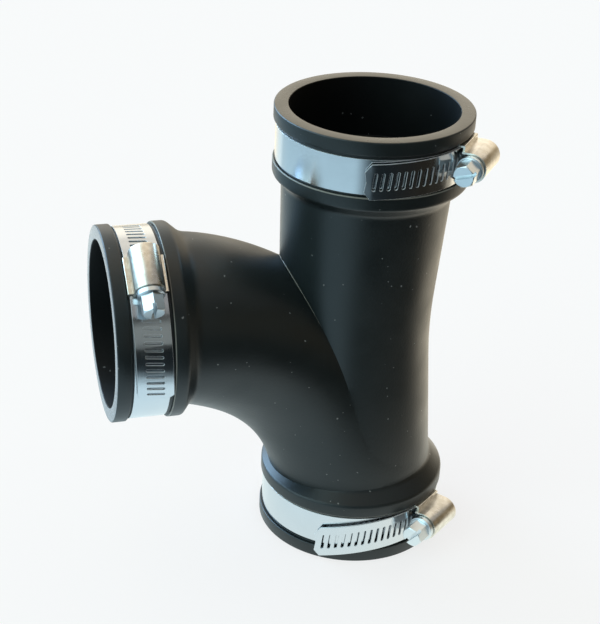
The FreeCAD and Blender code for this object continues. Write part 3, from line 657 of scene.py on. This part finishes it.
def flat_strip(name, tail_angle, steel):
    """Flat punched strip for a clamp whose tail reaches so far past its screw."""
    strip = slot_cell()
    strip.name = name
    strip.data.materials.append(steel)
    strip.data.materials.append(edge_steel)
    slotted = int((math.radians(tail_angle + SLOTTED_BEHIND) * TAIL_RADIUS - FIRST_SLOT) / PITCH) + 1
    whole = math.radians(tail_angle + 360 + STRAP_START) * TAIL_RADIUS
    apply_modifier(strip, "ARRAY", count=slotted, use_relative_offset=False, use_constant_offset=True,
                   constant_offset_displace=(PITCH * MM, 0, 0), use_merge_vertices=True,
                   merge_threshold=0.01 * MM)
    bpy.ops.object.mode_set(mode="EDIT")
    bpy.ops.mesh.select_all(action="SELECT")
    bpy.ops.transform.translate(value=(FIRST_SLOT * MM, 0, 0))
    tip = FIRST_SLOT - PITCH / 2
    pick(strip, lambda x, y, z: x < tip + 0.01)
    bpy.ops.mesh.extrude_region_move(TRANSFORM_OT_translate={"value": (-tip * MM, 0, 0)})
    pick(strip, lambda x, y, z: x < 0.01 and abs(y) > 6)
    bpy.ops.transform.translate(value=(TIP_CORNER * MM, 0, 0))
    pick(strip, lambda x, y, z: x < 0.01 and abs(y) > 3)
    bpy.ops.transform.resize(value=(1, 1.15, 1), center_override=(0, 0, 0))
    pick(strip, lambda x, y, z: x < 0.01 and abs(y) < 1)
    bpy.ops.transform.translate(value=(TIP_DIP * MM, 0, 0))
    end = tip + PITCH * slotted
    steps = round((whole - end) / PITCH)
    pick(strip, lambda x, y, z: x > end - 0.01)
    for _ in range(steps):
        bpy.ops.mesh.extrude_region_move(
            TRANSFORM_OT_translate={"value": ((whole - end) / steps * MM, 0, 0)})
    bpy.ops.mesh.select_all(action="SELECT")
    bpy.ops.mesh.normals_make_consistent(inside=False)
    bpy.ops.object.mode_set(mode="OBJECT")
    if sum(face.normal.z for face in strip.data.polygons) < 0:
        strip.data.flip_normals()
    apply_modifier(strip, "SOLIDIFY", thickness=STRAP_SHEET * MM, offset=1, material_offset_rim=1)
    apply_modifier(strip, "BEVEL", width=0.27 * MM, segments=3, limit_method="ANGLE",
                   angle_limit=math.radians(40), material=1)
    print(name, slotted, "slots,", round(whole), "mm long")
    return strip


# %% [markdown]
# Rolling: each point of the strip goes to its angle round the neck. The strip lies on the
# groove, climbs over its own start just behind the screw, and past the screw its tail drifts
# along the neck and lifts a little, as a cut length of springy strip does. No modifier follows
# such a path exactly, so the vertices are moved by formula.

# %% Roll the strip
SEAT_RADIUS = 33.95
SECOND_RADIUS = 34.6
CLIMB_START, CLIMB_END = 28.0, 12.6
TAIL_START = 16.0


def strap_path(angle, clamp):
    """Inner radius of the strap and its drift along the neck, at an angle behind the screw."""
    share = max(0.0, (-angle - TAIL_START) / (clamp["tail"] - TAIL_START))
    if angle >= CLIMB_START:
        radius = SEAT_RADIUS
    elif angle > CLIMB_END:
        climb = (CLIMB_START - angle) / (CLIMB_START - CLIMB_END)
        radius = SEAT_RADIUS + (SECOND_RADIUS - SEAT_RADIUS) * climb * climb * (3 - 2 * climb)
    else:
        radius = SECOND_RADIUS + clamp["lift"] * share ** 0.5
    return radius, clamp["skew"] * share ** 2


def roll_strap(strip, clamp):
    """Roll a flat strip round its neck and soften its shading towards the broad faces."""
    for vertex in strip.data.vertices:
        x, y, z = vertex.co / MM
        angle = math.degrees(x / TAIL_RADIUS) - clamp["tail"]
        radius, drift = strap_path(angle, clamp)
        turn = math.radians(angle)
        flat = Vector(((radius + z) * math.cos(turn), (radius + z) * math.sin(turn), y + drift))
        vertex.co = clamp["place"] @ (flat * MM)
    select_only(strip)
    bpy.ops.object.mode_set(mode="EDIT")
    bpy.ops.mesh.select_all(action="SELECT")
    bpy.ops.mesh.normals_make_consistent(inside=False)
    bpy.ops.object.mode_set(mode="OBJECT")
    bpy.ops.object.shade_smooth_by_angle(angle=math.radians(50))
    apply_modifier(strip, "WEIGHTED_NORMAL", weight=90)


for name, clamp in CLAMPS.items():
    strap = flat_strip(name + "_rolled_strap", clamp["tail"],
                       level_strap_steel if name == "branch" else upright_strap_steel)
    roll_strap(strap, clamp)
    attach(strap, name + "_clamp")
    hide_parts(name + "_strap")

# %% [markdown]
# ### The screw
# A hexagon-headed worm screw with a driver slot, a round collar and a journal that turns in the
# barrel's mouth. The shank grows ring by ring as the tee did. The head is a six-sided cylinder
# whose end is chamfered by keeping only what it shares with a cone, as a lathe leaves it.

# %% Head and shank
HEAD_FLATS = 7.3
HEAD_LENGTH = 6.3
HEAD_TIP = 16.65
DRIVER_WIDTH, DRIVER_DEPTH = 1.3, 2.2


def make_screw(name):
    """Screw along Z with its head up and the middle of the barrel at the origin."""
    profile = [(-9.5, 1.8, 0), (-9.2, 2.3, 0), (-7.1, 2.3, 0), (-7.1, 3.0, 0), (7.5, 3.0, 0), (7.5, 4.6, 0),
               (8.35, 4.6, 0), (8.35, 4.8, 0.15), (10.1, 4.8, 0.25), (10.1, 4.15, 0), (10.6, 4.15, 0)]
    screw = grow_tube(name, round_corners([(0, z, 0, r, rounding) for z, r, rounding in profile]), 48)
    select_only()
    bpy.ops.mesh.primitive_cylinder_add(
        vertices=6, radius=HEAD_FLATS / math.sqrt(3) * MM, depth=HEAD_LENGTH * MM,
        location=(0, 0, (HEAD_TIP - HEAD_LENGTH / 2) * MM), rotation=(0, 0, math.radians(30)))
    head = bpy.context.object
    bpy.ops.object.transform_apply(location=True, rotation=True, scale=True)
    cone_rings = [(0, 9, 0, 7.4), (0, 13.4, 0, 7.4), (0, HEAD_TIP, 0, 3.5), (0, 17, 0, 3.1)]
    cone = grow_tube("chamfer_cone", cone_rings, 64)
    apply_modifier(head, "BOOLEAN", object=cone, operation="INTERSECT", solver="EXACT")
    select_only()
    bpy.ops.mesh.primitive_cube_add(size=1, location=(0, 0, HEAD_TIP * MM),
                                    scale=(20 * MM, DRIVER_WIDTH * MM, 2 * DRIVER_DEPTH * MM))
    driver = bpy.context.object
    bpy.ops.object.transform_apply(location=True, rotation=True, scale=True)
    apply_modifier(head, "BOOLEAN", object=driver, operation="DIFFERENCE", solver="EXACT")
    apply_modifier(head, "BEVEL", width=0.16 * MM, segments=2, limit_method="ANGLE",
                   angle_limit=math.radians(25))
    for helper in (cone, driver):
        bpy.data.objects.remove(helper)
    thread = make_thread()
    select_only(screw, head, thread)
    bpy.ops.object.join()
    bpy.ops.object.shade_smooth_by_angle(angle=math.radians(40))
    apply_modifier(screw, "WEIGHTED_NORMAL", weight=80)
    return screw


# %% [markdown]
# The worm's thread is a ridge 0.8 mm high with the strap's pitch. A screw modifier winds its
# four-cornered section five turns up the shank, and the two open ends are filled.

# %% Thread
def make_thread():
    """Five turns of thread on a shank of 3 mm radius."""
    select_only()
    start, crest = (3.35 * MM, 0, -6.4 * MM), (3.8 * MM, 0, -6.4 * MM)
    bpy.ops.mesh.primitive_plane_add(size=1, location=start, rotation=(math.radians(90), 0, 0))
    thread = bpy.context.object
    bpy.ops.object.mode_set(mode="EDIT")
    bpy.ops.transform.resize(value=(0.9 * MM, 1, 1.25 * MM), center_override=start)
    bpy.ops.object.mode_set(mode="OBJECT")
    bpy.ops.object.transform_apply(location=True, rotation=True, scale=True)
    pick(thread, lambda x, y, z: x > 3.5)
    bpy.ops.transform.resize(value=(1, 1, 0.45), center_override=crest)
    bpy.ops.mesh.select_all(action="SELECT")
    bpy.ops.mesh.delete(type="ONLY_FACE")
    bpy.ops.object.mode_set(mode="OBJECT")
    apply_modifier(thread, "SCREW", axis="Z", screw_offset=PITCH * MM, iterations=5, steps=32,
                   render_steps=32, use_merge_vertices=False)
    bpy.ops.object.mode_set(mode="EDIT")
    bpy.ops.mesh.select_all(action="SELECT")
    bpy.ops.mesh.fill_holes(sides=8)
    bpy.ops.mesh.normals_make_consistent(inside=False)
    bpy.ops.object.mode_set(mode="OBJECT")
    return thread


# %% [markdown]
# A screw lies across its clamp in the middle of the barrel, 39.1 mm from the neck's axis, with
# its head towards the tail. Each clamp gets its own screw, turned as the photograph shows it.

# %% Set the screws
SCREW_REACH = 39.1
for name, clamp in CLAMPS.items():
    screw = make_screw(name + "_worm_screw")
    in_barrel = moved(SCREW_REACH, 0, 0) @ turned(90, "X") @ turned(clamp["screw"], "Z")
    screw.data.transform(clamp["place"] @ in_barrel)
    screw.data.materials.append(screw_steel)
    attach(screw, name + "_screw")
    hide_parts(name + "_screw")
    print(screw.name, len(screw.data.polygons), "faces")

# %% [markdown]
# ### The housing
# The housing keeps its CAD shape, a stamping whose barrel covers the worm. A weld and a bevel
# round its pressed edges by about a quarter of a millimetre, which is what catches the light.
# Both stay live modifiers, so the CAD mesh itself is untouched.

# %% Housing finish
for name in CLAMPS:
    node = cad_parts[name + "_housing"]
    node.data.materials.clear()
    node.data.materials.append(housing_steel)
    weld = node.modifiers.new("weld", "WELD")
    weld.merge_threshold = 0.001 * MM
    bevel = node.modifiers.new("bevel", "BEVEL")
    bevel.width = 0.22 * MM
    bevel.segments = 3
    bevel.limit_method = "ANGLE"
    bevel.angle_limit = math.radians(35)
    bevel.harden_normals = True
print("housings dressed")

# %% [markdown]
# ## The studio
# The tee stands on a white floor. What polished steel and satin rubber show is mostly what they
# reflect, so the surroundings are designed for them: cool light from the left, warm light
# from the back and the right, brightest on the floor behind the tee, and an unlit room in front
# on the right. Only reflections see this. The camera sees plain white everywhere, with the
# tee's own soft shadow. A side of the room is a direction, and how far a place or a ray goes
# towards it, its dot product, sets how bright and how warm it is there.

# %% Directions in the room
COOL_SIDE = (-0.94, -0.34, 0.0)
DARK_SIDE = (0.48, -0.88, 0.0)
BRIGHT_SIDE = (0.75, 0.66, 0.0)
TAN_SIDE = (0.98, -0.17, 0.0)
WINDOW = (-0.604, 0.695, 0.391)
UP = (0.0, 0.0, 1.0)


def along(tree, place, side, start, end, low, high):
    """Value that goes smoothly from low to high between two distances towards one side."""
    way = add_node(tree, "VectorMath", {0: place, 1: side}, operation="DOT_PRODUCT")
    ramp = add_node(tree, "MapRange", {"Value": way.outputs["Value"], "From Min": start, "From Max": end,
                                       "To Min": low, "To Max": high}, interpolation_type="SMOOTHSTEP")
    return ramp.outputs["Result"]


def room_tint(tree, place, width):
    """Colour that goes from warm to cool over a width."""
    share = along(tree, place, COOL_SIDE, -width, width, 0.0, 1.0)
    return add_node(tree, "MixRGB", {0: share, 1: linear("fff3da"), 2: linear("c2e4f4")}).outputs[0]


print("the window stands", round(math.degrees(math.asin(WINDOW[2]))), "degrees above the floor")

# %% [markdown]
# The floor is matt white board. To the camera it is mostly plain white, mixed with a quarter of
# real paint that takes the shadow. To a reflection it glows: brighter close to the tee and
# behind it, and unlit from about 160 mm out in front, where the dark stripes in the steel and
# the black side of the rubber come from.

# %% Floor
def make_floor():
    """Wide white floor under the tee."""
    select_only()
    bpy.ops.mesh.primitive_plane_add(size=12, location=(0, 0, 0))
    floor = bpy.context.object
    floor.name = "studio_floor"
    material, tree = new_material("matt_white_floor")
    path = add_node(tree, "LightPath")
    place = add_node(tree, "TexCoord").outputs["Object"]
    away = add_node(tree, "VectorMath", {0: place}, operation="LENGTH")
    way = add_node(tree, "VectorMath", {0: place}, operation="NORMALIZE")
    unlit = add_node(tree, "MapRange", {"Value": away.outputs["Value"], "From Min": 0.08, "From Max": 0.16,
                                        "To Min": 1.3, "To Max": 0.03})
    near = add_node(tree, "Math", {
        0: along(tree, way.outputs[0], DARK_SIDE, 0.4, 0.75, 1.3, unlit.outputs["Result"]),
        1: along(tree, place, BRIGHT_SIDE, 0.03, 0.08, 1.0, 1.35)}, operation="MULTIPLY")
    edge = add_node(tree, "MapRange", {"Value": away.outputs["Value"], "From Min": 0.2, "From Max": 0.8,
                                       "To Min": 1.0, "To Max": 0.4})
    lit = add_node(tree, "Math", {0: near.outputs[0], 1: edge.outputs["Result"]}, operation="MULTIPLY")
    paint = add_node(tree, "BsdfDiffuse", {"Color": linear("fafafa")})
    white = add_node(tree, "Emission", {"Color": (1, 1, 1, 1), "Strength": 1.0})
    mirrored = add_node(tree, "Emission", {"Color": room_tint(tree, place, 0.2), "Strength": lit.outputs[0]})
    seen = add_node(tree, "Math", {0: path.outputs["Is Camera Ray"], 1: 0.75}, operation="MULTIPLY")
    both = add_node(tree, "MixShader", {0: seen.outputs[0], 1: paint.outputs[0], 2: white.outputs[0]})
    whole = add_node(tree, "MixShader", {0: path.outputs["Is Glossy Ray"], 1: both.outputs[0],
                                         2: mirrored.outputs[0]})
    add_node(tree, "OutputMaterial", {"Surface": whole.outputs[0]})
    floor.data.materials.append(material)
    return floor


print(make_floor().name, "laid")

# %% [markdown]
# The world is the rest of the room. The camera sees white, diffuse light gets a weak even fill,
# and reflections see the walls: lit on the left and behind, dim in front on the right and nearly
# black there higher up, with a strong blue window on the left behind the tee, a tan wall on the
# right and a tan ceiling.

# %% World
world = bpy.data.worlds.new("studio_world")
bpy.context.scene.world = world
world.use_nodes = True
tree = world.node_tree
tree.nodes.clear()
path = add_node(tree, "LightPath")
way = add_node(tree, "TexCoord").outputs["Generated"]
fill = add_node(tree, "Background", {"Color": (1, 1, 1, 1), "Strength": 0.15})
front = along(tree, way, UP, 0.35, 0.6, 0.38, 0.04)
walls = along(tree, way, UP, 0.35, 0.75, 0.85, 0.25)
window = along(tree, way, WINDOW, 0.8, 0.95, 0.0, 1.0)
ceiling = along(tree, way, UP, 0.82, 0.95, 0.0, 1.0)
warm = add_node(tree, "Math", {0: along(tree, way, TAN_SIDE, 0.15, 0.8, 0.0, 1.0), 1: ceiling},
                operation="MAXIMUM")
tint = add_node(tree, "MixRGB", {0: warm.outputs[0], 1: room_tint(tree, way, 0.8), 2: linear("c4b08c")})
tint = add_node(tree, "MixRGB", {0: window, 1: tint.outputs[0], 2: linear("98c8f0")})
room = along(tree, way, DARK_SIDE, -0.25, 0.35, walls, front)
level = add_node(tree, "Math", {0: window, 1: 5.5, 2: room}, operation="MULTIPLY_ADD")
level = add_node(tree, "Math", {0: ceiling, 1: 0.55, 2: level.outputs[0]}, operation="MULTIPLY_ADD")
mirrored = add_node(tree, "Background", {"Color": tint.outputs[0], "Strength": level.outputs[0]})
white = add_node(tree, "Background", {"Color": (1, 1, 1, 1), "Strength": 1.0})
inside = add_node(tree, "MixShader", {0: path.outputs["Is Glossy Ray"], 1: fill.outputs[0],
                                      2: mirrored.outputs[0]})
whole = add_node(tree, "MixShader", {0: path.outputs["Is Camera Ray"], 1: inside.outputs[0],
                                     2: white.outputs[0]})
add_node(tree, "OutputWorld", {"Surface": whole.outputs[0]})
print("world has", len(tree.nodes), "nodes")

# %% [markdown]
# Sun lamps with a wide angle act as large soft boxes that light the tee and the floor evenly:
# a cool window behind on the left, a soft fill before it, a warm window behind, and a skylight.

# %% Lamps
def add_lamp(name, azimuth, height, strength, colour, spread):
    """Sun lamp: azimuth is where it stands, in degrees from +X, height its angle above the floor."""
    lamp = bpy.data.objects.new(name, bpy.data.lights.new(name, "SUN"))
    bpy.context.collection.objects.link(lamp)
    a, h = math.radians(azimuth), math.radians(height)
    towards = Vector((math.cos(a) * math.cos(h), math.sin(a) * math.cos(h), math.sin(h)))
    lamp.rotation_euler = towards.to_track_quat("Z", "Y").to_euler()
    lamp.data.energy = strength
    lamp.data.angle = math.radians(spread)
    lamp.data.color = linear(colour)[:3]
    print(name, "from", azimuth, "degrees,", height, "up")


add_lamp("cool_window", 131, 23, 1.1, "b8deff", 32)
add_lamp("cool_fill", 195, 32, 1.4, "c8eef2", 60)
add_lamp("warm_window", 85, 40, 0.8, "fff3dc", 110)
add_lamp("skylight", 110, 72, 0.9, "ffffff", 140)

# %% [markdown]
# ## The camera
# The camera stands where the photographer stood: in front, a little to the left, looking down
# by 28 degrees with a long lens, and rolled by under 3 degrees. Its place in millimetres and its
# axes (right, up and back) were worked out from the ellipses of the mouths.

# %% Camera
CAMERA_PLACE = Vector((-165.58, -477.52, 356.20))
CAMERA_AXES = (Vector((0.96389, -0.26295, 0.04211)), Vector((0.08788, 0.46336, 0.88180)),
               Vector((-0.25139, -0.84626, 0.46974)))
FOCAL_PIXELS = 1527.6
PICTURE_PIXELS = 624
SENSOR = 36.0
lens_data = bpy.data.cameras.new("camera")
camera = bpy.data.objects.new("camera", lens_data)
bpy.context.collection.objects.link(camera)
camera.matrix_world = moved(*CAMERA_PLACE) @ Matrix(CAMERA_AXES).transposed().to_4x4()
lens_data.sensor_width = SENSOR
lens_data.lens = SENSOR * FOCAL_PIXELS / PICTURE_PIXELS
lens_data.clip_start, lens_data.clip_end = 0.01, 50
bpy.context.scene.camera = camera
bpy.context.scene.view_settings.view_transform = "Standard"
print("lens of", round(lens_data.lens, 1), "mm")
